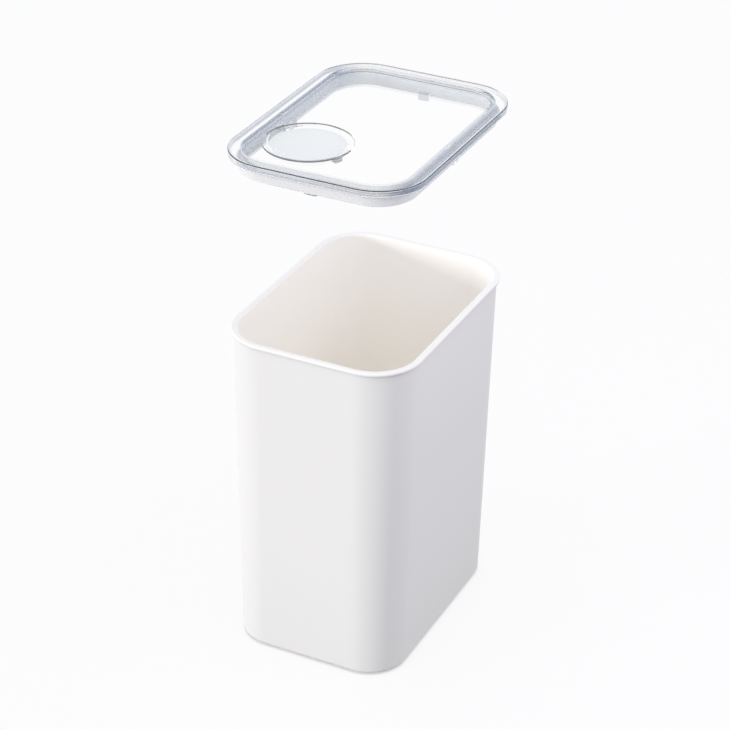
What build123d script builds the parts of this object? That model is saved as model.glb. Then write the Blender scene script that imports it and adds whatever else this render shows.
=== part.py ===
"""Tall storage jar: a drafted white tub, a clear push-on lid with a silicone gasket, and a
round desiccant case that twists onto hooks under one corner of the lid.

Millimetres, +Z up. The origin is the centre of the surface that the jar stands on. The lid is
held above the tub, the way the jar is shown open, and goes straight down onto the rim.
"""
import os
from math import cos, degrees, radians, sin, tan

from build123d import *

# Outline of the rim and of the lid, which share one rounded rectangle
rim_width = 160.0
rim_length = 220.0
rim_corner_radius = 40.0

# Tub
tub_height = 285.0
tub_wall = 3.6
floor_thickness = 3.8
draft_angle = 1.05
lip_overhang = 2.2
lip_height = 3.4
rim_edge_chamfer = 0.7
base_edge_radius = 2.5
cavity_floor_radius = 8.0
foot_height = 1.2
foot_width = 3.0
foot_inset = 3.5

# Lid, with depths measured down from its top face and insets in from its outer edge
flange_thickness = 2.2
skirt_wall = 2.4
skirt_depth = 5.5
lid_edge_chamfer = 0.7
ledge_inset = 9.8
ledge_drop = 1.0
panel_inset = 13.5
panel_drop = 2.0
panel_thickness = 2.2
plug_inset = 9.5
plug_wall = 2.4
plug_depth = 17.8
plug_lead_in = 0.8

# Gasket and the lid's features that hold it
gasket_top = 7.3
gasket_bottom = 16.5
gasket_band = 1.4
gasket_fit = 0.1
fin_root = 2.2
fin_tip = 0.5
fin_drop = 1.9
fin_clearance = 0.4
shoulder_width = 1.3
shoulder_thickness = 0.9
claw_width = 9.0
claw_reach = 2.6
claw_overlap = 1.2
claw_top = 13.0
claw_depth = 19.4

# How far the lid is held above the rim, and its gap to the rim when it is on
lid_lift = 146.0
seat_gap = 0.3

# Round desiccant case, with depths measured down from the underside of the panel
case_radius = 35.0
case_wall_gap = 3.6
case_end_gap = 16.6
case_flange_thickness = 1.6
case_gap = 0.3
dish_radius = 31.4
dish_wall = 1.2
dish_depth = 5.6
dish_floor = 1.2
dish_edge_chamfer = 0.8
slot_count = 5
slot_width = 2.8
slot_pitch = 9.0
slot_margin = 4.0
grip_length = 30.0
grip_thickness = 3.0
grip_height = 4.0
grip_angle = 25.0

# Bayonet that holds the case
hook_angle = -25.0
hook_count = 2
hook_span = 11.0
hook_wall = 2.0
hook_reach = 3.0
hook_thickness = 1.8
hook_clearance = 0.4
notch_clearance_angle = 2.0
twist_angle = 35.0
pip_angle = 70.0
pip_radius_from_center = 33.4
pip_diameter = 1.2
pip_engagement = 0.6
track_clearance = 0.25

# Desiccant pad
pad_clearance = 0.5
pad_thickness = 2.9
pad_gap = 0.3

# Heights and places that follow from the sizes above
lid_top_z = tub_height + seat_gap + skirt_depth + lid_lift
panel_top_z = lid_top_z - panel_drop
panel_under_z = panel_top_z - panel_thickness
case_top_z = panel_under_z - case_gap
plug_inner_inset = plug_inset + plug_wall
gasket_outer_inset = plug_inset - gasket_fit - gasket_band
tub_inner_inset = lip_overhang + tub_wall
case_center_x = plug_inner_inset + case_wall_gap + case_radius - rim_width / 2
case_center_y = plug_inner_inset + case_end_gap + case_radius - rim_length / 2
case_axis = Pos(case_center_x, case_center_y, 0)


def outline(inset):
    """The shared rounded rectangle, drawn in by an inset all round."""
    return RectangleRounded(
        rim_width - 2 * inset, rim_length - 2 * inset, rim_corner_radius - inset
    )


def section_face(section_points):
    """A face from points that are each an inset and a depth below the lid's top."""
    return make_face(Polyline(*[(inset, -depth) for inset, depth in section_points], close=True))


def swept_ring(section_points):
    """Sweep a section of insets and depths all the way round the lid's outline."""
    plane = Plane(origin=(0, -rim_length / 2, lid_top_z), x_dir=(0, 1, 0), z_dir=(1, 0, 0))
    path = Pos(0, 0, lid_top_z) * outline(0).wire()
    return sweep(plane * section_face(section_points), path=path, transition=Transition.TRANSFORMED)


def make_tub():
    """Drafted tub with a lip round its rim, an open top and a foot ring under its base."""
    down = Plane(origin=(0, 0, tub_height), x_dir=(1, 0, 0), z_dir=(0, 0, -1))
    body_height = tub_height - foot_height
    body = extrude(down * outline(lip_overhang), amount=body_height, taper=draft_angle)
    body = fillet(body.edges().group_by(Axis.Z)[0], base_edge_radius)
    lip = extrude(Pos(0, 0, tub_height - lip_height) * outline(0), lip_height)

    base_inset = lip_overhang + body_height * tan(radians(draft_angle))
    foot_outer = outline(base_inset + foot_inset)
    foot_inner = outline(base_inset + foot_inset + foot_width)
    foot = extrude(foot_outer - foot_inner, foot_height)

    cavity_depth = body_height - floor_thickness
    cavity = extrude(down * outline(tub_inner_inset), amount=cavity_depth, taper=draft_angle)
    cavity = fillet(cavity.edges().group_by(Axis.Z)[0], cavity_floor_radius)

    tub = body + lip + foot - cavity
    return chamfer(tub.edges().group_by(Axis.Z)[-1], rim_edge_chamfer)


def make_lid():
    """Clear lid: one rim section swept round the outline, a panel, claws, hooks and a pip."""
    panel_under = panel_drop + panel_thickness
    shoulder_top = gasket_top - gasket_fit - shoulder_thickness
    shoulder_inset = plug_inset - shoulder_width
    rim_section = [
        (lid_edge_chamfer, 0),
        (ledge_inset, 0),
        (ledge_inset + ledge_drop, ledge_drop),
        (panel_inset, ledge_drop),
        (panel_inset, panel_under),
        (plug_inner_inset, panel_under),
        (plug_inner_inset, plug_depth),
        (plug_inset + plug_lead_in, plug_depth),
        (plug_inset, plug_depth - plug_lead_in),
        (plug_inset, shoulder_top + shoulder_thickness),
        (shoulder_inset, shoulder_top + shoulder_thickness),
        (shoulder_inset, shoulder_top),
        (plug_inset, shoulder_top - shoulder_width),
        (plug_inset, flange_thickness),
        (skirt_wall, flange_thickness),
        (skirt_wall, skirt_depth),
        (0, skirt_depth),
        (0, lid_edge_chamfer),
    ]
    rim = swept_ring(rim_section)
    panel = extrude(Pos(0, 0, panel_under_z) * outline(plug_inner_inset), panel_thickness)
    lid = rim + panel
    for claw in make_claws():
        lid += claw
    for hook in make_hooks():
        lid += hook
    return lid + make_pip()


def make_claws():
    """Four claws, one at the middle of each side: a rib inside the plug wall whose foot reaches
    out under the gasket and holds its lower edge."""
    foot_top = gasket_bottom + gasket_fit
    rib_inset = plug_inner_inset + claw_reach
    hidden_inset = plug_inner_inset - claw_overlap
    section_points = [
        (rib_inset, claw_top),
        (rib_inset, claw_depth),
        (plug_inner_inset, claw_depth),
        (gasket_outer_inset, plug_depth),
        (gasket_outer_inset, foot_top),
        (hidden_inset, foot_top),
        (hidden_inset, claw_top),
    ]
    section = section_face(section_points)
    claws = []
    for side in range(4):
        half_size = (rim_length if side % 2 else rim_width) / 2
        turn = Rot(0, 0, 90 * side)
        plane = Plane(origin=(half_size, -claw_width / 2, lid_top_z), x_dir=(-1, 0, 0), z_dir=(0, 1, 0))
        claws.append(turn * extrude(plane * section, claw_width))
    return claws


def ring_sector(inner_radius, outer_radius, low_z, high_z, middle_angle, span):
    """A block of a ring round the case's axis, centred on an angle."""
    half_section = Plane.XZ * Pos((inner_radius + outer_radius) / 2, (low_z + high_z) / 2) * Rectangle(
        outer_radius - inner_radius, high_z - low_z
    )
    sector = revolve(half_section, Axis.Z, span)
    return case_axis * Rot(0, 0, middle_angle - span / 2) * sector


def make_hooks():
    """L-shaped hooks under the panel: a leg outside the case's flange and a foot under it."""
    leg_radius = case_radius + hook_clearance
    outer_radius = leg_radius + hook_wall
    foot_top_z = case_top_z - case_flange_thickness - case_gap
    foot_low_z = foot_top_z - hook_thickness
    hooks = []
    for index in range(hook_count):
        angle = hook_angle + index * 360 / hook_count
        hooks.append(
            ring_sector(leg_radius, outer_radius, foot_low_z, panel_under_z, angle, hook_span)
        )
        hooks.append(
            ring_sector(case_radius - hook_reach, outer_radius, foot_low_z, foot_top_z, angle, hook_span)
        )
    return hooks


def make_pip():
    """Small pip under the panel that runs in the case's track and stops its twist."""
    pip_x = case_center_x + pip_radius_from_center * cos(radians(pip_angle))
    pip_y = case_center_y + pip_radius_from_center * sin(radians(pip_angle))
    pip_length = case_gap + pip_engagement
    return extrude(
        Pos(pip_x, pip_y, panel_under_z - pip_length) * Circle(pip_diameter / 2), pip_length
    )


def make_gasket():
    """Silicone ring round the plug wall, with one fin that meets the tub's wall."""
    inner_inset = plug_inset - gasket_fit
    fin_inset = tub_inner_inset + fin_clearance
    section = [
        (inner_inset, gasket_top),
        (inner_inset, gasket_bottom),
        (gasket_outer_inset, gasket_bottom),
        (gasket_outer_inset, gasket_top + fin_root),
        (fin_inset, gasket_top + fin_drop + fin_tip),
        (fin_inset, gasket_top + fin_drop),
        (gasket_outer_inset, gasket_top),
    ]
    return swept_ring(section)


def make_desiccant_case():
    """Shallow dish with a bayonet flange, an air-slotted floor and a finger grip beneath."""
    low = -dish_depth
    profile = [
        (0, low + dish_floor),
        (dish_radius - dish_wall, low + dish_floor),
        (dish_radius - dish_wall, 0),
        (case_radius, 0),
        (case_radius, -case_flange_thickness),
        (dish_radius, -case_flange_thickness),
        (dish_radius, low),
        (0, low),
    ]
    dish = revolve(Plane.XZ * make_face(Polyline(*profile, close=True)), Axis.Z)
    dish = chamfer(dish.edges().group_by(Axis.Z)[0], dish_edge_chamfer)
    dish = case_axis * Pos(0, 0, case_top_z) * dish

    hook_inner_radius = case_radius - hook_reach
    notch_inner_radius = hook_inner_radius - case_gap
    notch_span = hook_span + 2 * notch_clearance_angle
    flange_low_z = case_top_z - case_flange_thickness
    for index in range(hook_count):
        angle = hook_angle + twist_angle + index * 360 / hook_count
        dish -= ring_sector(
            notch_inner_radius, case_radius + hook_wall, flange_low_z, case_top_z, angle, notch_span
        )

    track_half_width = pip_diameter / 2 + track_clearance
    track_end_angle = degrees(2 * track_half_width / pip_radius_from_center)
    dish -= ring_sector(
        pip_radius_from_center - track_half_width,
        pip_radius_from_center + track_half_width,
        case_top_z - pip_engagement - track_clearance,
        case_top_z,
        pip_angle + twist_angle / 2,
        twist_angle + track_end_angle,
    )
    for slot in make_air_slots():
        dish -= slot

    grip = extrude(SlotOverall(grip_length, grip_thickness), -grip_height)
    grip_place = case_axis * Pos(0, 0, case_top_z - dish_depth) * Rot(0, 0, grip_angle)
    return dish + grip_place * grip


def make_air_slots():
    """A row of slots through the dish's floor, shortened towards its edge."""
    reach = dish_radius - dish_wall - slot_margin
    slots = []
    for index in range(slot_count):
        offset = (index - (slot_count - 1) / 2) * slot_pitch
        clear_of_grip = abs(offset) > grip_thickness / 2 + slot_width / 2
        length = 2 * (reach**2 - offset**2) ** 0.5
        if clear_of_grip:
            floor_low_z = case_top_z - dish_depth
            place = case_axis * Pos(0, 0, floor_low_z) * Rot(0, 0, grip_angle)
            slots.append(place * Pos(0, offset, 0) * extrude(Rectangle(length, slot_width), dish_floor))
    return slots


def make_desiccant_pad():
    """White disc that lies on the dish's floor."""
    pad_radius = dish_radius - dish_wall - pad_clearance
    pad_low_z = case_top_z - dish_depth + dish_floor + pad_gap
    return case_axis * Pos(0, 0, pad_low_z) * extrude(Circle(pad_radius), pad_thickness)


parts = {
    "tub": make_tub(),
    "lid": make_lid(),
    "gasket": make_gasket(),
    "desiccant_case": make_desiccant_case(),
    "desiccant_pad": make_desiccant_pad(),
}

os.makedirs("parts", exist_ok=True)
for name, part in parts.items():
    export_step(part, f"parts/{name}.step")
    print(name, round(part.volume / 1000, 1), "cm3", len(part.solids()), "solid")
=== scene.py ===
# %% [markdown]
# A tall white storage jar with its clear lid held above it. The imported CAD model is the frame: it
# says where every part is, how large it is and which body it moves with. Each visible piece here
# is made again round the same sizes with finer rounding, because a moulded plastic edge is read by
# the thin line of light along it, and clear plastic shows every edge that it has.

# %% Load the frame
import math
import bmesh
import bpy
from mathutils import Matrix, Vector


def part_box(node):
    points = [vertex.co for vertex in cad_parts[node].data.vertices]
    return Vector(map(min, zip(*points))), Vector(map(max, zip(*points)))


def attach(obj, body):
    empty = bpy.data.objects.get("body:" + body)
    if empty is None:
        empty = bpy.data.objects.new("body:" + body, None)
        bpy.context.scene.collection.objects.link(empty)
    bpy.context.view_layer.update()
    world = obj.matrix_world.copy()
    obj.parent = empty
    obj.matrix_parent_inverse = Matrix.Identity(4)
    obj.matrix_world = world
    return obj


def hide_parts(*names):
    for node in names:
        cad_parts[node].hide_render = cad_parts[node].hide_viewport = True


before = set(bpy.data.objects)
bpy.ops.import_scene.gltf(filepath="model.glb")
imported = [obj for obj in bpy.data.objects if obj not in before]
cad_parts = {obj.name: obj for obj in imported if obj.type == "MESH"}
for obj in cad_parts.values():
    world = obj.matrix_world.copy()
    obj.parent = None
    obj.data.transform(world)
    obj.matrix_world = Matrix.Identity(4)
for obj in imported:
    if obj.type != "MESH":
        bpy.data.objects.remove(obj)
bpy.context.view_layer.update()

# %% [markdown]
# The tub and the lid share one rounded rectangle, so every section is written the same way: how
# far in from that outline, and how high. The width, the length and the heights are read from the
# frame, and the wall sizes are the ones that such mouldings have.

# %% Sizes, in metres
mm = 0.001
tub_low, tub_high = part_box("tub")
rim_width = tub_high.x - tub_low.x
rim_length = tub_high.y - tub_low.y
rim_corner_radius = 40 * mm
rim_z = tub_high.z
lid_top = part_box("lid")[1].z
print("rim", round(rim_width, 4), "by", round(rim_length, 4), "at height", round(rim_z, 4))
print("lid top at height", round(lid_top, 4))

# %% [markdown]
# A moulded wall could be made by Solidify on a bent sheet, but the rim, the floor and the foot
# differ in thickness. So a section is laid down as stations, each one turn of the rounded
# rectangle, and neighbouring turns are bridged. Bevelling the four corners of a plain rectangle
# gives each turn its round corners, all with the same number of points.

# %% One turn of the outline
corner_segments = 28
stack_spacing = 0.1


def rounded_outline(bm, inset, level):
    """One flat face with round corners, drawn in by an inset, at a level of the stack."""
    # A grid's size is half of its side, so this is a square of one metre until it is scaled.
    corners = bmesh.ops.create_grid(bm, x_segments=1, y_segments=1, size=0.5)["verts"]
    spread = Vector((rim_width - 2 * inset, rim_length - 2 * inset, 1))
    bmesh.ops.scale(bm, vec=spread, verts=corners)
    bmesh.ops.translate(bm, vec=(0, 0, level * stack_spacing), verts=corners)
    others = set(bm.faces) - set(corners[0].link_faces)
    bmesh.ops.bevel(
        bm, geom=corners, offset=rim_corner_radius - inset, offset_type="OFFSET",
        segments=corner_segments, profile=0.5, affect="VERTICES", material=-1,
    )
    return next(face for face in bm.faces if face not in others)


# %% [markdown]
# The turns are bridged while they stand well apart, one above the other, and are moved to their
# heights afterwards, because a bridge between two turns at one height can start at the wrong
# corner and cross over.

# %% A skin between the turns
def skin(section, capped):
    """Bridges a section's named turns in order, and returns the skin with each turn's edges.

    A capped skin keeps its first and last face. Otherwise the last turn is joined to the first.
    """
    bm = bmesh.new()
    insets = [inset for inset, height in section.values()]
    heights = [height for inset, height in section.values()]
    turns = [rounded_outline(bm, inset, level) for level, inset in enumerate(insets)]
    edges = [list(turn.edges) for turn in turns]
    points = [list(turn.verts) for turn in turns]
    pairs = list(zip(edges, edges[1:]))
    if not capped:
        pairs.append((edges[-1], edges[0]))
    spare = turns[1:-1] if capped else turns
    bmesh.ops.delete(bm, geom=spare, context="FACES_ONLY")
    for first, second in pairs:
        bmesh.ops.bridge_loops(bm, edges=first + second)
    for level, height in enumerate(heights):
        lift = height - level * stack_spacing
        bmesh.ops.translate(bm, vec=(0, 0, lift), verts=points[level])
    bmesh.ops.recalc_face_normals(bm, faces=bm.faces)
    return bm, dict(zip(section, edges))


# %% Rounded edges, and a solid's volume
def round_edges(bm, edges, radius, segments=4):
    """Rounds some edges by a radius."""
    bmesh.ops.bevel(
        bm, geom=edges, offset=radius, offset_type="OFFSET", segments=segments,
        profile=0.5, affect="EDGES", clamp_overlap=True, material=-1,
    )


def cubic_centimetres(bm):
    """How much plastic a closed mesh holds."""
    return round(bm.calc_volume() / (10 * mm) ** 3, 2)


# %% [markdown]
# A finished piece is shaded smooth up to its truly sharp edges. Weighted normals then keep its
# flat faces flat, so that only the narrow roundings catch the light, as on a real moulding. Each
# piece rides on a CAD body, and stands for the CAD node whose shape it refines.

# %% From a bmesh to a finished piece
smooth_up_to = math.radians(38)


def finished(name, bm, body, stands_for):
    """Turns a bmesh into a smooth piece that rides its body and stands for CAD nodes."""
    mesh = bpy.data.meshes.new(name)
    bm.to_mesh(mesh)
    bm.free()
    mesh.shade_smooth()
    mesh.set_sharp_from_angle(angle=smooth_up_to)
    piece = bpy.data.objects.new(name, mesh)
    bpy.context.scene.collection.objects.link(piece)
    flats = piece.modifiers.new("keep flats flat", "WEIGHTED_NORMAL")
    flats.keep_sharp = True
    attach(piece, body)
    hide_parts(*stands_for)
    print(name, len(mesh.vertices), "vertices", len(mesh.polygons), "faces")
    return piece


# %% [markdown]
# The tub is one injection moulding in white polypropylene. Its walls lean in towards the base so
# that it leaves the mould, its rim turns out into a small lip, and a narrow foot ring lifts the
# base off the table, which is the thin dark line under it. It could be a box with its top inset
# and pushed down, but that makes all the walls alike. The section here runs from the base's
# underside, up the outside, over the rim and down the inside to the floor.

# %% Tub section, as heights
tub_wall = 3.6 * mm
lip_overhang = 2.2 * mm
lip_height = 3.4 * mm
floor_thickness = 3.8 * mm
foot_height = 1.2 * mm
foot_width = 3.0 * mm
foot_inset = 3.5 * mm
draft = math.tan(math.radians(1.05))
base_inset = lip_overhang + (rim_z - foot_height) * draft
inside_inset = lip_overhang + tub_wall
floor_z = foot_height + floor_thickness
tub_section = {
    "underside": (base_inset + foot_inset + foot_width, foot_height),
    "foot inside": (base_inset + foot_inset + foot_width, 0),
    "foot outside": (base_inset + foot_inset, 0),
    "foot root": (base_inset + foot_inset, foot_height),
    "base": (base_inset, foot_height),
    "lip root": (lip_overhang + lip_height * draft, rim_z - lip_height),
    "lip low": (0, rim_z - lip_height),
    "rim outside": (0, rim_z),
    "rim inside": (inside_inset, rim_z),
    "floor": (inside_inset + (rim_z - floor_z) * draft, floor_z),
}
print(len(tub_section), "stations, the base", round(base_inset / mm, 2), "mm in from the rim")

# %% Tub
tub_mesh, turns = skin(tub_section, capped=True)
round_edges(tub_mesh, turns["rim outside"] + turns["rim inside"], radius=1.5 * mm, segments=6)
round_edges(tub_mesh, turns["lip low"], radius=1.7 * mm, segments=6)
round_edges(tub_mesh, turns["lip root"], radius=0.4 * mm, segments=2)
round_edges(tub_mesh, turns["base"], radius=2.5 * mm, segments=6)
round_edges(tub_mesh, turns["floor"], radius=8.0 * mm, segments=8)
round_edges(tub_mesh, turns["foot inside"] + turns["foot outside"], radius=0.4 * mm, segments=2)
print("tub", cubic_centimetres(tub_mesh), "cubic centimetres")
tub = finished("tub_moulding", tub_mesh, "tub", ["tub"])

# %% [markdown]
# The lid is one moulding in clear styrene resin. Light bends at each of its faces, so its whole
# section matters: the flange with its short skirt, the step down to the panel, the plug wall that
# goes into the tub and the shoulder above the gasket. Plates and walls stuck into each other would
# be quicker to make. It is skinned as one closed body instead, because a ray that enters clear
# plastic has to find the way out of it.

# %% Lid section, as depths below the lid's top
flange_thickness = 2.2 * mm
skirt_wall = 2.4 * mm
skirt_depth = 5.5 * mm
ledge_inset = 9.8 * mm
ledge_drop = 1.0 * mm
panel_inset = 13.5 * mm
panel_drop = 2.0 * mm
panel_thickness = 2.2 * mm
plug_inset = 9.5 * mm
plug_wall = 2.4 * mm
plug_depth = 17.8 * mm
plug_lead_in = 0.8 * mm
shoulder_top = 6.3 * mm
shoulder_width = 1.3 * mm
shoulder_thickness = 0.9 * mm
shoulder_low = shoulder_top + shoulder_thickness
panel_under = panel_drop + panel_thickness
plug_inner = plug_inset + plug_wall
lid_section = {
    "panel": (panel_inset, panel_drop),
    "panel step": (panel_inset, ledge_drop),
    "ledge": (ledge_inset + ledge_drop, ledge_drop),
    "ledge top": (ledge_inset, 0),
    "flange edge": (0, 0),
    "skirt outside": (0, skirt_depth),
    "skirt inside": (skirt_wall, skirt_depth),
    "skirt root": (skirt_wall, flange_thickness),
    "plug root": (plug_inset, flange_thickness),
    "shoulder root": (plug_inset, shoulder_top - shoulder_width),
    "shoulder top": (plug_inset - shoulder_width, shoulder_top),
    "shoulder low": (plug_inset - shoulder_width, shoulder_low),
    "gasket seat": (plug_inset, shoulder_low),
    "lead-in": (plug_inset, plug_depth - plug_lead_in),
    "plug low": (plug_inset + plug_lead_in, plug_depth),
    "plug low inside": (plug_inner, plug_depth),
    "panel underside": (plug_inner, panel_under),
}
print(len(lid_section), "stations, the panel's underside", round(panel_under / mm, 2), "mm down")

# %% Lid skin
flange_rounding = 0.9 * mm
lid_mesh, turns = skin(
    {name: (inset, lid_top - depth) for name, (inset, depth) in lid_section.items()}, capped=True,
)
fine_edges = turns["panel"] + turns["panel step"] + turns["ledge top"] + turns["plug low inside"]
round_edges(lid_mesh, turns["flange edge"], radius=flange_rounding)
round_edges(lid_mesh, turns["skirt outside"] + turns["skirt inside"], radius=0.5 * mm, segments=3)
round_edges(lid_mesh, fine_edges, radius=0.45 * mm)
print("lid skin", cubic_centimetres(lid_mesh), "cubic centimetres")

# %% [markdown]
# Small features stand on that skin. Each starts as a flat section drawn from a few points, which
# is pushed straight or spun round an axis into a solid.

# %% A section pushed into a bar
def drawn_section(points):
    """One flat face in the XZ plane; each point is a distance out and a height."""
    bm = bmesh.new()
    bm.faces.new([bm.verts.new((out, 0, height)) for out, height in points])
    return bm


def pushed(bm, width):
    """Pushes a section along Y into a bar that is centred on the section's plane."""
    bmesh.ops.translate(bm, vec=(0, -width / 2, 0), verts=bm.verts)
    moved = bmesh.ops.extrude_face_region(bm, geom=bm.faces[:])["geom"]
    far_end = [item for item in moved if isinstance(item, bmesh.types.BMVert)]
    bmesh.ops.translate(bm, vec=(0, width, 0), verts=far_end)
    bmesh.ops.recalc_face_normals(bm, faces=bm.faces)
    return bm


# %% Sharp edges, and a solid's place
def sharp_edges(bm):
    """The edges where two faces meet at more than 30 degrees."""
    return [edge for edge in bm.edges if edge.calc_face_angle(0) > math.radians(30)]


def turned(bm, angle, place=(0, 0, 0)):
    """Turns a solid round Z and then moves it to a place."""
    bmesh.ops.rotate(bm, matrix=Matrix.Rotation(angle, 3, "Z"), verts=bm.verts)
    bmesh.ops.translate(bm, vec=place, verts=bm.verts)
    return bm


# %% [markdown]
# Four claws, one in the middle of each side, keep the soft ring from sliding off: each is a rib
# inside the plug wall with a foot that reaches out under the gasket. They show as darker marks in
# the clear rim: painted shade, from a grey tint on their ribs. An array round the middle would
# leave some off their wall, because the lid is longer than it is wide, so each is pushed from the
# same section at its own side's distance.

# %% Claws, as depths below the lid's top
claw_width = 9.0 * mm
claw_top = 13.0 * mm
claw_depth = 19.4 * mm
claw_foot_inset = 8.0 * mm
claw_foot_top = 16.6 * mm
rib_thickness = 2.6 * mm
rib_overlap = 1.2 * mm
feature_rounding = 0.2 * mm
claw_points = [
    (plug_inner + rib_thickness, claw_top),
    (plug_inner + rib_thickness, claw_depth),
    (plug_inner, claw_depth),
    (claw_foot_inset, plug_depth),
    (claw_foot_inset, claw_foot_top),
    (plug_inner - rib_overlap, claw_foot_top),
    (plug_inner - rib_overlap, claw_top),
]
lid_features = []
for side in range(4):
    half_size = (rim_length if side % 2 else rim_width) / 2
    section = [(half_size - inset, lid_top - depth) for inset, depth in claw_points]
    claw = pushed(drawn_section(section), claw_width)
    round_edges(claw, sharp_edges(claw), feature_rounding, segments=2)
    lid_features.append(turned(claw, math.radians(90 * side)))
print(len(lid_features), "claws", round((claw_depth - claw_top) / mm, 2), "mm high")

# %% [markdown]
# Two L-shaped hooks stand under one corner of the panel, half a turn apart. With the notches in
# the round case they are a bayonet: the case goes up past the hooks and a short twist locks it.
# They follow the case's round edge, so their section is spun by a few degrees and not pushed.

# %% A section spun into a sector
def spun_sector(bm, span, steps=8):
    """Spins a section round Z into a sector that is centred on the section's plane."""
    bmesh.ops.rotate(bm, matrix=Matrix.Rotation(-span / 2, 3, "Z"), verts=bm.verts)
    geometry = bm.verts[:] + bm.edges[:] + bm.faces[:]
    bmesh.ops.spin(bm, geom=geometry, axis=(0, 0, 1), angle=span, steps=steps)
    bmesh.ops.recalc_face_normals(bm, faces=bm.faces)
    return bm


# %% Hooks
case_low, case_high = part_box("desiccant_case")
case_center = (case_low + case_high) / 2
case_place = Vector((case_center.x, case_center.y, 0))
case_radius = (case_high.x - case_low.x) / 2
case_top = case_high.z
case_flange = 1.6 * mm
case_gap = 0.3 * mm
hook_angle = math.radians(-25)
hook_span = math.radians(11)
hook_wall = 2.0 * mm
hook_reach = 3.0 * mm
hook_thickness = 1.8 * mm
hook_clearance = 0.4 * mm
embedding = 0.5 * mm
panel_under_z = lid_top - panel_under
leg_inner = case_radius + hook_clearance
foot_top = case_top - case_flange - case_gap
hook_points = [
    (leg_inner, panel_under_z + embedding),
    (leg_inner, foot_top),
    (case_radius - hook_reach, foot_top),
    (case_radius - hook_reach, foot_top - hook_thickness),
    (leg_inner + hook_wall, foot_top - hook_thickness),
    (leg_inner + hook_wall, panel_under_z + embedding),
]
for half_turn in (0, math.pi):
    hook = spun_sector(drawn_section(hook_points), hook_span)
    round_edges(hook, sharp_edges(hook), feature_rounding, segments=2)
    lid_features.append(turned(hook, hook_angle + half_turn, case_place))
print("hooks reach", round(hook_reach / mm, 2), "mm under a case of radius", round(case_radius, 4))

# %% [markdown]
# A small pip stands between the hooks and runs in a curved track in the case, whose end stops the
# twist. It is round, so half of its outline is spun a full turn and the seam is merged.

# %% A round solid
weld = 0.001 * mm


def rectangle(inner, outer, low, high):
    """The four points of a plain section."""
    return [(inner, low), (outer, low), (outer, high), (inner, high)]


def spun_round(points, steps=128):
    """Spins a chain of points that starts and ends on the axis into a closed round solid."""
    bm = drawn_section(points)
    chain = [edge for edge in bm.edges if any(abs(vert.co.x) > weld for vert in edge.verts)]
    on_axis = [edge for edge in bm.edges if edge not in chain]
    bmesh.ops.delete(bm, geom=bm.faces[:], context="FACES_ONLY")
    bmesh.ops.delete(bm, geom=on_axis, context="EDGES_FACES")
    geometry = bm.verts[:] + bm.edges[:]
    bmesh.ops.spin(
        bm, geom=geometry, axis=(0, 0, 1), angle=math.tau, steps=steps, use_merge=True,
    )
    bmesh.ops.remove_doubles(bm, verts=bm.verts, dist=weld)
    bmesh.ops.recalc_face_normals(bm, faces=bm.faces)
    return bm


# %% Stop pip
track_radius = 33.4 * mm
pip_angle = math.radians(70)
pip_radius = 0.6 * mm
pip_height = 0.9 * mm
pip_points = rectangle(0, pip_radius, panel_under_z - pip_height, panel_under_z + embedding)
pip_place = Matrix.Rotation(pip_angle, 3, "Z") @ Vector((track_radius, 0, 0))
lid_features.append(turned(spun_round(pip_points, steps=20), 0, case_place + pip_place))
print(len(lid_features), "features to join, the last a pip", round(pip_height / mm, 2), "mm high")

# %% [markdown]
# The features could be left stuck into the lid, as separate parts of one mesh, but in clear
# plastic the hidden faces of an overlap would show. A Boolean joins them to the moulding, as the
# real one is moulded in one piece. The exact solver is slower than the fast one, and copes better
# with faces that nearly lie in one plane.

# %% Joining and cutting solids
def combine(body, operation, solids):
    """Joins solids to a body, or cuts them from it, and leaves one clean closed mesh."""
    holders = []
    for bm in (body, *solids):
        mesh = bpy.data.meshes.new("solid")
        bm.to_mesh(mesh)
        holders.append(bpy.data.objects.new("solid", mesh))
        bpy.context.scene.collection.objects.link(holders[-1])
    for tool in holders[1:]:
        boolean = holders[0].modifiers.new("combine", "BOOLEAN")
        boolean.object = tool
        boolean.operation = operation
        boolean.solver = "EXACT"
    evaluated = holders[0].evaluated_get(bpy.context.evaluated_depsgraph_get())
    result = bpy.data.meshes.new_from_object(evaluated)
    body.clear()
    body.from_mesh(result)
    for holder in holders:
        bpy.data.objects.remove(holder)
    bmesh.ops.remove_doubles(body, verts=body.verts, dist=weld)
    print(operation, len(solids), "solids:", cubic_centimetres(body), "cubic centimetres")


# %% Lid
combine(lid_mesh, "UNION", lid_features)
lid = finished("lid_moulding", lid_mesh, "lid", ["lid"])

# %% [markdown]
# The gasket is a soft ring of translucent silicone round the plug wall. A single fin leans out
# from it and presses on the tub's wall. It could be swept along a curve, but the same skin as for
# the tub and the lid fits the plug wall exactly. A ring has no caps, so its turns close on
# themselves.

# %% Gasket
gasket_low, gasket_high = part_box("gasket")
gasket_fit = 0.1 * mm
gasket_band = 1.4 * mm
fin_clearance = 0.4 * mm
fin_drop = 1.9 * mm
fin_tip = 0.5 * mm
fin_root = 2.2 * mm
band_inner = plug_inset - gasket_fit
band_outer = band_inner - gasket_band
fin_inset = inside_inset + fin_clearance
gasket_section = {
    "inside top": (band_inner, gasket_high.z),
    "inside low": (band_inner, gasket_low.z),
    "outside low": (band_outer, gasket_low.z),
    "fin root": (band_outer, gasket_high.z - fin_root),
    "fin tip low": (fin_inset, gasket_high.z - fin_drop - fin_tip),
    "fin tip top": (fin_inset, gasket_high.z - fin_drop),
    "outside top": (band_outer, gasket_high.z),
}
gasket_mesh, turns = skin(gasket_section, capped=False)
low_edges = turns["outside low"] + turns["inside low"]
round_edges(gasket_mesh, low_edges, radius=0.4 * mm, segments=2)
print("gasket", cubic_centimetres(gasket_mesh), "cubic centimetres")
gasket = finished("gasket_ring", gasket_mesh, "lid", ["gasket"])

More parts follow.
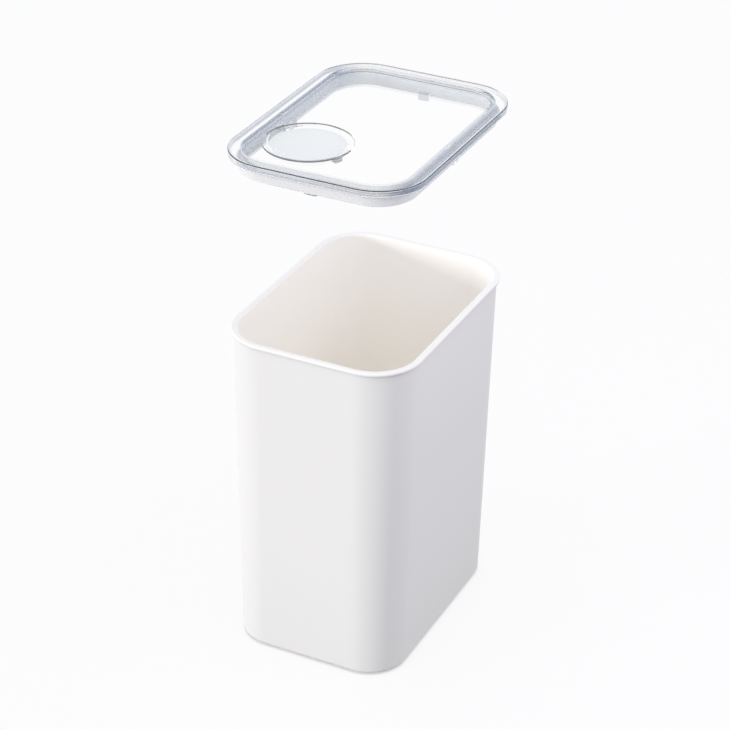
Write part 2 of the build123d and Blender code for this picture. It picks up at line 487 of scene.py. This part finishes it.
# %% [markdown]
# The round case is a shallow clear dish with a flat flange. It could be a cylinder that is inset
# and pushed in, but one profile, spun a full turn, holds all of its wall sizes in one place.

# %% Dish of the desiccant case
dish_radius = 31.4 * mm
dish_wall = 1.2 * mm
dish_depth = 5.6 * mm
dish_floor = 1.2 * mm
dish_low = case_top - dish_depth
case_mesh = spun_round([
    (0, dish_low + dish_floor),
    (dish_radius - dish_wall, dish_low + dish_floor),
    (dish_radius - dish_wall, case_top),
    (case_radius, case_top),
    (case_radius, case_top - case_flange),
    (dish_radius, case_top - case_flange),
    (dish_radius, dish_low),
    (0, dish_low),
])
round_edges(case_mesh, sharp_edges(case_mesh), radius=0.3 * mm, segments=3)
turned(case_mesh, 0, case_place)
print("dish", cubic_centimetres(case_mesh), "cubic centimetres")

# %% [markdown]
# Two notches in the flange let the hooks pass, a curved track takes the pip over the whole twist,
# and slots in the floor let the air in. Building the dish round such gaps would be slow. They are
# solids of their own that a Boolean cuts away, after the rounding, so the cuts stay crisp.

# %% Notches and track
twist = math.radians(35)
notch_play = math.radians(4)
track_play = math.radians(2.9)
track_width = 1.7 * mm
track_depth = 0.85 * mm
margin = 2 * mm
notch_points = rectangle(
    case_radius - hook_reach - case_gap, case_radius + margin,
    case_top - case_flange - margin, case_top + margin,
)
track_points = rectangle(
    track_radius - track_width / 2, track_radius + track_width / 2,
    case_top - track_depth, case_top + margin,
)
cuts = []
for half_turn in (0, math.pi):
    notch = spun_sector(drawn_section(notch_points), hook_span + notch_play)
    cuts.append(turned(notch, hook_angle + twist + half_turn, case_place))
track = spun_sector(drawn_section(track_points), twist + track_play, steps=24)
cuts.append(turned(track, pip_angle + twist / 2, case_place))
print("notches and a track for a twist of", round(math.degrees(twist)), "degrees")

# %% Air slots
slot_width = 2.8 * mm
slot_pitch = 9 * mm
slot_border = 4 * mm
slot_reach = dish_radius - dish_wall - slot_border
grip_angle = math.radians(25)


def upright_edges(bm):
    """The edges of a bar that rise by more than a millimetre."""
    return [edge for edge in bm.edges if abs(edge.verts[0].co.z - edge.verts[1].co.z) > mm]


for row in (-2, -1, 1, 2):
    half_length = math.sqrt(slot_reach ** 2 - (row * slot_pitch) ** 2)
    slot_points = rectangle(
        -half_length, half_length, dish_low - margin, dish_low + dish_floor + margin,
    )
    air_slot = pushed(drawn_section(slot_points), slot_width)
    round_edges(air_slot, upright_edges(air_slot), radius=1.2 * mm, segments=6)
    turned(air_slot, 0, (0, row * slot_pitch, 0))
    cuts.append(turned(air_slot, grip_angle, case_place))
combine(case_mesh, "DIFFERENCE", cuts)

# %% [markdown]
# A bar under the dish's floor is the grip for two fingers. It runs between the two middle slots,
# and it is pushed from a plain section, rounded on its own and only then joined to the dish, so
# the rounding can't run into the slots.

# %% Finger grip
grip_length = 30 * mm
grip_thickness = 3 * mm
grip_height = 4 * mm
grip_points = rectangle(
    -grip_length / 2, grip_length / 2, dish_low - grip_height, dish_low + embedding,
)
grip = pushed(drawn_section(grip_points), grip_thickness)
round_edges(grip, upright_edges(grip), radius=1.4 * mm, segments=8)
foot_edges = [
    edge for edge in sharp_edges(grip) if max(vert.co.z for vert in edge.verts) < dish_low - mm
]
round_edges(grip, foot_edges, radius=0.6 * mm, segments=3)
combine(case_mesh, "UNION", [turned(grip, grip_angle, case_place)])
case = finished(
    "clear_round_case", case_mesh, "desiccant_case", ["desiccant_case"],
)

# %% [markdown]
# In the case lies a disc of pressed desiccant between two layers of non-woven cloth. The layers
# are sealed together round the edge, so the disc is thick in the middle and has a thin flat
# border. A cushion made by cloth simulation would swell too much, because the filling is pressed
# hard, so it is a spun profile with its bends rounded.

# %% Profile of the desiccant disc
pad_low, pad_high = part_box("desiccant_pad")
pad_radius = (pad_high.x - pad_low.x) / 2
pad_middle = (pad_low.z + pad_high.z) / 2
pad_half = (pad_high.z - pad_low.z) / 2
seal_width = 2.6 * mm
seal_half = 0.35 * mm
bulge_border = 1.7 * seal_width
crown_border = 3 * seal_width
crown_drop = 0.2 * mm
pad_profile = [
    (0, pad_half),
    (pad_radius - crown_border, pad_half),
    (pad_radius - bulge_border, pad_half - crown_drop),
    (pad_radius - seal_width, seal_half),
    (pad_radius, seal_half),
]
pad_chain = [(out, pad_middle + rise) for out, rise in pad_profile]
pad_chain += [(out, pad_middle - rise) for out, rise in reversed(pad_profile)]
print("disc", round(2 * pad_radius / mm, 2), "mm across and", round(2 * pad_half / mm, 2), "thick")

# %% Desiccant disc
def level_bends(bm):
    """The level edges where two faces meet at more than 5 degrees."""
    bends = [edge for edge in bm.edges if edge.calc_face_angle(0) > math.radians(5)]
    return [edge for edge in bends if abs(edge.verts[0].co.z - edge.verts[1].co.z) < weld]


pad_mesh = spun_round(pad_chain)
round_edges(pad_mesh, level_bends(pad_mesh), radius=0.3 * mm, segments=3)
turned(pad_mesh, 0, case_place)
pad = finished(
    "nonwoven_desiccant_disc", pad_mesh, "desiccant_case", ["desiccant_pad"],
)

# %% [markdown]
# Materials are built from nodes. One function turns a written colour into light values, and one
# adds a node with its settings and its links. All patterns read Object coordinates, so they keep
# their size in millimetres and don't slide when a body moves.

# %% Colour and node helpers
def linear(hex_colour):
    """sRGB hex, as a colour picker shows it, to the linear values that Blender uses."""
    parts = [int(hex_colour[i:i + 2], 16) / 255 for i in (1, 3, 5)]
    light = [c / 12.92 if c <= 0.04045 else ((c + 0.055) / 1.055) ** 2.4 for c in parts]
    return (*light, 1.0)


def add(tree, kind, inputs=(), **settings):
    """Adds a node; inputs maps a socket to a value or to another node's output."""
    made = tree.nodes.new(kind)
    for name, value in settings.items():
        setattr(made, name, value)
    for socket, value in dict(inputs).items():
        if isinstance(value, bpy.types.NodeSocket):
            tree.links.new(value, made.inputs[socket])
        else:
            made.inputs[socket].default_value = value
    return made


def new_material(name):
    """An empty material with its node tree and its output."""
    material = bpy.data.materials.new(name)
    material.use_nodes = True
    material.node_tree.nodes.clear()
    return material, material.node_tree, add(material.node_tree, "ShaderNodeOutputMaterial")


def dress(piece, material):
    """Gives every face of a piece one material."""
    piece.data.materials.clear()
    piece.data.materials.append(material)
    print(piece.name, "wears", material.name)


# %% [markdown]
# Polypropylene for food tubs is moulded against a finely blasted steel face. It comes out satin:
# a soft broad sheen, a very slight warmth inside where light bounces many times, and a grain too
# fine to see except where it breaks up the sheen. A flat white would look like paper, so the grain
# bends the sheen a little, and the slow flow of the melt varies its tone and its polish. Blasted
# grain is about 0.1 mm wide and is drawn at 0.9 mm, so that it shows.

# %% White polypropylene
blasted_grain = 0.9 * mm
melt_flow = 60 * mm
tub_white, tree, out = new_material("moulded_white_polypropylene")
place = add(tree, "ShaderNodeTexCoord").outputs["Object"]
grain = add(tree, "ShaderNodeTexNoise", {
    "Vector": place, "Scale": 1 / blasted_grain, "Detail": 3.0,
})
flow = add(tree, "ShaderNodeTexNoise", {"Vector": place, "Scale": 1 / melt_flow, "Detail": 2.0})
sheen = add(tree, "ShaderNodeMapRange", {
    "Value": flow.outputs["Fac"], "From Min": 0.3, "From Max": 0.7, "To Min": 0.36, "To Max": 0.44,
})
tone = add(tree, "ShaderNodeMix", {
    "Factor": flow.outputs["Fac"], "A": linear("#FDFBF7"), "B": linear("#FFFDF9"),
}, data_type="RGBA")
bump = add(tree, "ShaderNodeBump", {
    "Height": grain.outputs["Fac"], "Strength": 0.12, "Distance": 0.02 * mm,
})
shader = add(tree, "ShaderNodeBsdfPrincipled", {
    "Base Color": tone.outputs["Result"], "Roughness": sheen.outputs["Result"],
    "IOR": 1.49, "Normal": bump.outputs["Normal"], "Specular IOR Level": 0.25,
})
tree.links.new(shader.outputs["BSDF"], out.inputs["Surface"])
dress(tub, tub_white)

# %% [markdown]
# Styrene resin is the clear, glass-like plastic of food boxes, moulded in a polished steel cavity.
# It could be one plain glass shader, but the eye reads this lid by its edges: the thin panel is
# colourless, and the walls that are seen edge-on hold more plastic and look blue-grey. So each
# zone of the moulding gets its own tint and polish. The lid also looks darker and bluer along its
# long sides, so a zone may have a second tint there, which is painted shade and comes in round the
# corners. It depends on the place on the lid alone, and the lid looks alike after half a turn.
#
# The real resin's index is 1.59. The lid has 1.45, at which its walls bend light as softly as they
# do in the photograph. The thin case, the hooks and the claws' feet have about 1.05, because they
# are seen through the panel and hardly bend what lies behind them.
#
# Light that only passes on its way to the tub goes straight through, because bent light would need
# far more samples and leave specks on the walls. A thin clear sheet also traps light between its
# faces. In the real lid, roundings and small flaws let it out within a few bounces, so here a ray
# is let out after five, and the edges show as soft lines, not black ones.

# %% A tint with painted shade along the long sides, changing round the corners
corner_fade = 15 * mm
side_change = (rim_width - rim_length) / 2


def shaded_sides(tree, place, tint, side_shade):
    """A tint, with painted shade along the long sides, from the place on the lid."""
    away = add(tree, "ShaderNodeVectorMath", {0: place}, operation="ABSOLUTE")
    axes = add(tree, "ShaderNodeSeparateXYZ", {0: away.outputs[0]})
    lead = add(tree, "ShaderNodeMath", {
        0: axes.outputs["X"], 1: axes.outputs["Y"],
    }, operation="SUBTRACT")
    along = add(tree, "ShaderNodeMapRange", {
        "Value": lead.outputs[0],
        "From Min": side_change - corner_fade, "From Max": side_change + corner_fade,
    })
    colour = add(tree, "ShaderNodeMix", {
        "Factor": along.outputs["Result"], "A": linear(tint), "B": linear(side_shade),
    }, data_type="RGBA")
    return colour.outputs["Result"]


# %% Clear styrene resin
styrene_ior = 1.45
thin_styrene_ior = 1.05
styrene_flow = 18 * mm
bounces_kept = 5


def clear_styrene(name, tint, roughness, ior=styrene_ior, lets_by="#FCFDFE", side_shade=None):
    """Clear moulded resin, wavy from its flow; side_shade paints shade on the long sides."""
    material, tree, out = new_material(name)
    place = add(tree, "ShaderNodeTexCoord").outputs["Object"]
    flow = add(tree, "ShaderNodeTexNoise", {
        "Vector": place, "Scale": 1 / styrene_flow, "Detail": 1.0,
    })
    # What is the same all over a finish is set on the shader itself, so the export keeps it.
    colour = shaded_sides(tree, place, tint, side_shade) if side_shade else linear(tint)
    polish = roughness
    if roughness:
        polish = add(tree, "ShaderNodeMapRange", {
            "Value": flow.outputs["Fac"], "From Min": 0.3, "From Max": 0.7,
            "To Min": 0.8 * roughness, "To Max": 1.2 * roughness,
        }).outputs["Result"]
    waviness = add(tree, "ShaderNodeBump", {
        "Height": flow.outputs["Fac"], "Strength": 0.15, "Distance": 0.05 * mm,
    })
    resin = add(tree, "ShaderNodeBsdfPrincipled", {
        "Base Color": colour, "Roughness": polish, "IOR": ior,
        "Transmission Weight": 1.0, "Normal": waviness.outputs["Normal"],
    })
    path = add(tree, "ShaderNodeLightPath")
    passing = add(tree, "ShaderNodeMath", {
        0: path.outputs["Is Shadow Ray"], 1: path.outputs["Is Diffuse Ray"],
    }, operation="MAXIMUM")
    let_by = add(tree, "ShaderNodeBsdfTransparent", {"Color": linear(lets_by)})
    trapped = add(tree, "ShaderNodeMath", {
        0: path.outputs["Ray Depth"], 1: bounces_kept,
    }, operation="GREATER_THAN")
    let_out = add(tree, "ShaderNodeBsdfTransparent", {"Color": linear("#F2F4F7")})
    inside = add(tree, "ShaderNodeMixShader", {
        0: trapped.outputs[0], 1: resin.outputs[0], 2: let_out.outputs[0],
    })
    blend = add(tree, "ShaderNodeMixShader", {
        0: passing.outputs[0], 1: inside.outputs[0], 2: let_by.outputs[0],
    })
    tree.links.new(blend.outputs[0], out.inputs["Surface"])
    print(name, tint, side_shade or "", "index", ior)
    return material


# %% [markdown]
# The lid's nine finishes are one resin. Zones that are polished in the mould and seen flat are
# nearly colourless, and satin zones are a little rougher. Lets_by is what is left of the light
# that crosses a zone towards the tub: the flange and its edge stand over the tub's rim, and take
# more of it than the thin panel does.

# %% Finishes of the lid
flange_shade = "#9AA4B4"
lid_finishes = {
    "wall": clear_styrene("satin_styrene_wall", "#F2F3F4", 0.14, side_shade="#CCD4DF"),
    "panel": clear_styrene("polished_styrene_panel", "#FFFFFF", 0.0),
    "flange": clear_styrene("polished_styrene_flange", "#FDFDFD", 0.05, lets_by=flange_shade),
    "ledge": clear_styrene("polished_styrene_ledge", "#F2F3F5", 0.08, side_shade="#C8D0DC"),
    # Painted shade: the near-black tint draws the dark line along the flange's rounded outer edge.
    "edge": clear_styrene("painted_dark_flange_edge", "#1C2432", 0.05, lets_by=flange_shade),
    "skirt": clear_styrene(
        "polished_styrene_skirt", "#F8F8FA", 0.05, lets_by="#D0D4DA", side_shade="#C0C8D4",
    ),
    # Painted shade: the collar is tinted grey-blue, and darker still along the long sides.
    "collar": clear_styrene("styrene_collar_painted_shade", "#CACED6", 0.08, side_shade="#78829A"),
    # Painted shade: the grey tint darkens the hooks, the pip and the claws' ribs.
    "hook": clear_styrene("styrene_hook_painted_shade", "#B6BAC0", 0.15, ior=1.1),
    "foot": clear_styrene("styrene_claw_foot", "#F4F5F7", 0.15, ior=thin_styrene_ior),
}

# %% [markdown]
# A face's zone follows from how far in from the outline it lies, how deep below the lid's top, and
# how it slopes. Faces picked by hand would have to be picked again after every change to the
# shape, and a rule finds them by itself.

# %% How far in from the outline a point lies
def inset_of(point):
    """How far in from the lid's outline a point lies."""
    past_x = abs(point.x) - (rim_width / 2 - rim_corner_radius)
    past_y = abs(point.y) - (rim_length / 2 - rim_corner_radius)
    beyond = math.hypot(max(past_x, 0), max(past_y, 0)) + min(max(past_x, past_y), 0)
    return rim_corner_radius - beyond


# %% The zone of a face
# A slope is 1 where a face looks up, 0 where it stands upright and -1 where it looks down.
hair = 0.1 * mm
level_slope = 0.95
edge_slopes = (0.15, 0.97)
upright_slope = 0.2
rising_slope = 0.1
falling_slope = -0.5
collar_outer = plug_inset - shoulder_width
clear_panel_inset = panel_inset + 1.0 * mm
features_inset = panel_inset + 1.5 * mm


def lid_zone(face):
    """The name of the zone that one face of the lid is in."""
    inset, depth, slope = inset_of(face.center), lid_top - face.center.z, face.normal.z
    if inset > clear_panel_inset and abs(slope) > level_slope and depth < panel_under + 3 * hair:
        return "panel"
    if inset > features_inset:
        return "hook"
    if depth > claw_foot_top - hair and inset < band_inner - hair:
        return "foot"
    inside_plug = inset > plug_inner + 2 * hair and depth > panel_under + mm
    if inside_plug or depth > plug_depth + hair:
        return "hook" if inset > plug_inner and slope > falling_slope else "foot"
    if max(inset, depth) < flange_rounding and edge_slopes[0] < slope < edge_slopes[1]:
        return "edge"
    if inset < skirt_wall + 2 * hair and slope < upright_slope:
        return "skirt"
    in_collar = collar_outer - hair < inset < plug_inset + hair
    if in_collar and flange_thickness + 2 * hair < depth < shoulder_low + 2 * hair:
        return "collar"
    if depth < ledge_drop + 1.5 * hair and slope > rising_slope and inset > ledge_inset - mm:
        return "ledge"
    return "flange" if inset < collar_outer + hair else "wall"


# %% Finishes on the lid
lid.data.materials.clear()
for finish in lid_finishes.values():
    lid.data.materials.append(finish)
zone_names = list(lid_finishes)
zones = [lid_zone(face) for face in lid.data.polygons]
for face, zone in zip(lid.data.polygons, zones):
    face.material_index = zone_names.index(zone)
print("faces:", {zone: zones.count(zone) for zone in zone_names})

# %% [markdown]
# Through the lid's panel, the clear case shows as little more than one thin dark outline, where
# its rounded rim bends the light away. The resin's own bending is turned down here, so it doesn't
# draw that line by itself. The faces of the rim that look outward get a dark tint instead.

# %% Finishes on the round case
rim_band = 0.5 * mm
least_outward = 0.3
clear_case = clear_styrene("polished_styrene_case", "#FFFFFF", 0.03, ior=thin_styrene_ior)
case_edge = clear_styrene("styrene_case_edge", "#10141C", 0.05, ior=thin_styrene_ior)
dress(case, clear_case)
case.data.materials.append(case_edge)
for face in case.data.polygons:
    outward = (face.center - case_place).xy
    faces_out = outward.normalized().dot(face.normal.xy) > least_outward
    face.material_index = int(outward.length > case_radius - rim_band and faces_out)
print("faces of the dark rim", sum(face.material_index for face in case.data.polygons))

# %% [markdown]
# Food-grade silicone is moulded soft and milky. Its surface is matt with a faint powdery bloom, so
# the light spreads wide on it, and small flow marks break its tone. Real light also passes a
# little way into it. Behind the lid's clear wall that doesn't show, so a plain pale surface stands
# for it, which needs fewer samples.

# %% Silicone
flow_mark = 12 * mm
silicone, tree, out = new_material("moulded_translucent_silicone")
place = add(tree, "ShaderNodeTexCoord").outputs["Object"]
cloud = add(tree, "ShaderNodeTexNoise", {"Vector": place, "Scale": 1 / flow_mark, "Detail": 3.0})
milk = add(tree, "ShaderNodeMix", {
    "Factor": cloud.outputs["Fac"], "A": linear("#FDFCF9"), "B": linear("#FFFFFC"),
}, data_type="RGBA")
bloom = add(tree, "ShaderNodeMapRange", {
    "Value": cloud.outputs["Fac"], "From Min": 0.3, "From Max": 0.7, "To Min": 0.4, "To Max": 0.55,
})
shader = add(tree, "ShaderNodeBsdfPrincipled", {
    "Base Color": milk.outputs["Result"], "Roughness": bloom.outputs["Result"],
    "IOR": 1.41, "Specular IOR Level": 0.3,
})
tree.links.new(shader.outputs["BSDF"], out.inputs["Surface"])
dress(gasket, silicone)

# %% [markdown]
# The disc's wrap is non-woven polyester: fibres laid at random and pressed together by a heated
# roller with small points. The eye sees a soft matt white with a fine pattern of dimples. A
# photograph of such cloth could be wrapped on it, but two procedural patterns give the same look
# at any distance: cells for the points, and noise for the fibres. The points of a real sheet stand
# about 1 mm apart, and they are drawn at 1.6 mm, so that they show.

# %% Non-woven wrap
point_spacing = 1.6 * mm
fibre_width = 0.5 * mm
wrap, tree, out = new_material("nonwoven_polyester_wrap")
place = add(tree, "ShaderNodeTexCoord").outputs["Object"]
points = add(tree, "ShaderNodeTexVoronoi", {
    "Vector": place, "Scale": 1 / point_spacing, "Randomness": 0.15,
})
fibres = add(tree, "ShaderNodeTexNoise", {
    "Vector": place, "Scale": 1 / fibre_width, "Detail": 4.0, "Distortion": 1.5,
})
dimple = add(tree, "ShaderNodeMapRange", {
    "Value": points.outputs["Distance"],
    "From Min": 0.1, "From Max": 0.45, "To Min": 0.0, "To Max": 1.0,
})
surface = add(tree, "ShaderNodeMath", {
    0: dimple.outputs["Result"], 1: fibres.outputs["Fac"],
}, operation="ADD")
fleece = add(tree, "ShaderNodeMix", {
    "Factor": dimple.outputs["Result"], "A": linear("#ECEDE9"), "B": linear("#F7F8F4"),
}, data_type="RGBA")
bump = add(tree, "ShaderNodeBump", {
    "Height": surface.outputs[0], "Strength": 0.3, "Distance": 0.08 * mm,
})
shader = add(tree, "ShaderNodeBsdfPrincipled", {
    "Base Color": fleece.outputs["Result"], "Roughness": 0.85,
    "Normal": bump.outputs["Normal"], "Sheen Weight": 0.2,
})
tree.links.new(shader.outputs["BSDF"], out.inputs["Surface"])
dress(pad, wrap)

# %% [markdown]
# The floor is plain and pale. A lit floor alone would need strong lamps to come out white, and
# they would wash out the jar. So the camera, mirrors and clear plastic see it nearly white
# whatever falls on it, and a fifth of what they see is its real lit surface, which keeps the jar's
# shadow. Under the jar they see more of the lit surface, so the gap beside the foot ring stays a
# dark line. Light that bounces off it onto the jar meets a darker paper, because the photograph's
# tub isn't lit from below.

# %% Floor
floor_reach = 6
floor_mesh = bmesh.new()
bmesh.ops.create_grid(floor_mesh, x_segments=1, y_segments=1, size=floor_reach)
mesh = bpy.data.meshes.new("studio_floor")
floor_mesh.to_mesh(mesh)
floor_mesh.free()
studio_floor = bpy.data.objects.new("studio_floor", mesh)
bpy.context.scene.collection.objects.link(studio_floor)
print("floor", 2 * floor_reach, "metres across")

# %% What the camera sees
def seen_directly(tree):
    """1 for what the camera sees straight, mirrored or through clear plastic, otherwise 0."""
    path = add(tree, "ShaderNodeLightPath")
    mirrored = add(tree, "ShaderNodeMath", {
        0: path.outputs["Is Camera Ray"], 1: path.outputs["Is Glossy Ray"],
    }, operation="MAXIMUM")
    through = add(tree, "ShaderNodeMath", {
        0: mirrored.outputs[0], 1: path.outputs["Is Transmission Ray"],
    }, operation="MAXIMUM")
    return through.outputs[0]


# %% Studio paper
glow_under_jar = 0.4
glow_in_the_open = 0.8
base_radius = rim_corner_radius - base_inset
base_straight = Vector((
    rim_width / 2 - rim_corner_radius, rim_length / 2 - rim_corner_radius, 0,
))
paper, tree, out = new_material("white_studio_paper")
seen = seen_directly(tree)
place = add(tree, "ShaderNodeTexCoord").outputs["Object"]
away = add(tree, "ShaderNodeVectorMath", {0: place}, operation="ABSOLUTE")
past = add(tree, "ShaderNodeVectorMath", {
    0: away.outputs[0], 1: base_straight,
}, operation="SUBTRACT")
clipped = add(tree, "ShaderNodeVectorMath", {
    0: past.outputs[0], 1: (0, 0, 0),
}, operation="MAXIMUM")
reach = add(tree, "ShaderNodeVectorMath", {0: clipped.outputs[0]}, operation="LENGTH")
open_floor = add(tree, "ShaderNodeMapRange", {
    "Value": reach.outputs["Value"], "From Min": base_radius - mm, "From Max": base_radius + mm,
    "To Min": glow_under_jar, "To Max": glow_in_the_open,
})
glow_share = add(tree, "ShaderNodeMath", {
    0: seen, 1: open_floor.outputs["Result"],
}, operation="MULTIPLY")
paper_tone = add(tree, "ShaderNodeMix", {
    "Factor": seen, "A": linear("#84848A"), "B": linear("#FCFCFD"),
}, data_type="RGBA")
lit = add(tree, "ShaderNodeBsdfDiffuse", {"Color": paper_tone.outputs["Result"]})
glow = add(tree, "ShaderNodeEmission", {"Color": linear("#FFFFFF"), "Strength": 1.0})
blend = add(tree, "ShaderNodeMixShader", {
    0: glow_share.outputs[0], 1: lit.outputs[0], 2: glow.outputs[0],
})
tree.links.new(blend.outputs[0], out.inputs["Surface"])
dress(studio_floor, paper)

# %% [markdown]
# The world is the studio's white room. Its even, slightly cool light reaches every face, and does
# most of the lighting. A dome of many lamps would do the same and cost more time. Where the camera
# sees it, straight or through the lid, it is plain white.

# %% World
room_light = (0.945, 0.95, 1.0, 1.0)  # light values, not sRGB
room_strength = 0.92
world = bpy.data.worlds.new("studio")
world.use_nodes = True
world.node_tree.nodes.clear()
bpy.context.scene.world = world
tree = world.node_tree
out = add(tree, "ShaderNodeOutputWorld")
soft = add(tree, "ShaderNodeBackground", {"Color": room_light, "Strength": room_strength})
white = add(tree, "ShaderNodeBackground", {"Color": linear("#FFFFFF"), "Strength": 1.0})
blend = add(tree, "ShaderNodeMixShader", {
    0: seen_directly(tree), 1: soft.outputs[0], 2: white.outputs[0],
})
tree.links.new(blend.outputs[0], out.inputs["Surface"])
print("room light", room_strength)

# %% [markdown]
# The bright strip inside the far wall shows where the main lamp stands: to the left and a little
# in front, just above the rim, so its light skims over the left rim. A sun lamp has rays that all
# run one way, which keeps that strip as straight and crisp as it is in the photograph.

# %% Main lamp
def hang(lamp, towards, place=(0, 0, 0)):
    """Puts a lamp in the studio, with its back towards a direction and its light the other way."""
    holder = bpy.data.objects.new(lamp.name, lamp)
    holder.location = place
    holder.rotation_euler = towards.to_track_quat("Z", "Y").to_euler()
    bpy.context.scene.collection.objects.link(holder)
    print(lamp.name, "energy", round(lamp.energy, 2))


lamp_heading = math.radians(40)
strip_slope = 0.202
along_x, along_y = math.cos(lamp_heading), math.sin(lamp_heading)
travel = Vector((along_x, along_y, -strip_slope * along_x))
main_lamp = bpy.data.lights.new("main_lamp", "SUN")
main_lamp.angle = math.radians(1.5)
main_lamp.energy = 0.24
hang(main_lamp, -travel)

# %% [markdown]
# Two more lamps shape the outside. The tub's left face is brighter than its right one, so a broad
# sun shines on it from the front left. It is nearly level, because from higher up it would spill
# over the rim and blur the strip inside. A small, faintly blue softbox hangs up on the right, near
# enough for its light to fade down the right face.

# %% Fill lamps
front_fill = bpy.data.lights.new("front_fill", "SUN")
front_fill.angle = math.radians(8)
front_fill.energy = 1.08
hang(front_fill, Vector((-0.6, -0.75, 0.05)))
softbox_place = Vector((0.45, 0, 0.6))
softbox_target = Vector((0, 0, 0.28))
right_softbox = bpy.data.lights.new("right_softbox", "AREA")
right_softbox.size = 0.25
right_softbox.energy = 0.44
right_softbox.color = (0.84, 0.82, 1.0)
hang(right_softbox, softbox_place - softbox_target, softbox_place)

# %% [markdown]
# A view through the lid's rim can cross a dozen clear faces, and the inside of a white tub is lit
# by light that has bounced many times. With too few bounces both go dark, so the limits are
# raised.

# %% Light paths
paths = bpy.context.scene.cycles
paths.max_bounces = 32
paths.diffuse_bounces = 16
paths.glossy_bounces = 8
paths.transmission_bounces = 32
paths.transparent_max_bounces = 32
print("bounces", paths.max_bounces, "of which diffuse", paths.diffuse_bounces)

# %% [markdown]
# The camera was worked out from the photograph: the tub's rim, its silhouette and the lid's
# outlines were fitted together, which gave the direction, the distance and the focal length. It
# could also be turned by hand until it looked right.

# %% Camera direction
azimuth = math.radians(25.757)
elevation = math.radians(29.614)
roll = math.radians(0.909)
back = Vector((
    math.sin(azimuth) * math.cos(elevation),
    -math.cos(azimuth) * math.cos(elevation),
    math.sin(elevation),
))
level_right = Vector((math.cos(azimuth), math.sin(azimuth), 0))
level_up = back.cross(level_right)
right = level_right * math.cos(roll) + level_up * math.sin(roll)
up = level_up * math.cos(roll) - level_right * math.sin(roll)
print("camera looks from", [round(part, 3) for part in back])

# %% Camera
photo_side_px = 730
focal_px = 2369.1
distance = 1.9483
offset_right = -0.33 * mm
offset_up = 71.55 * mm
aim = Vector((0, 0, rim_z / 2))
camera = bpy.data.cameras.new("camera")
camera.sensor_width = 36
camera.lens = camera.sensor_width * focal_px / photo_side_px
camera_object = bpy.data.objects.new("camera", camera)
stand = aim + right * offset_right + up * offset_up + back * distance
turn = Matrix((right, up, back)).transposed().to_4x4()
camera_object.matrix_world = Matrix.Translation(stand) @ turn
bpy.context.scene.collection.objects.link(camera_object)
bpy.context.scene.camera = camera_object
bpy.context.scene.view_settings.view_transform = "Standard"
print("lens", round(camera.lens, 1), "mm at", round(distance, 3), "metres")
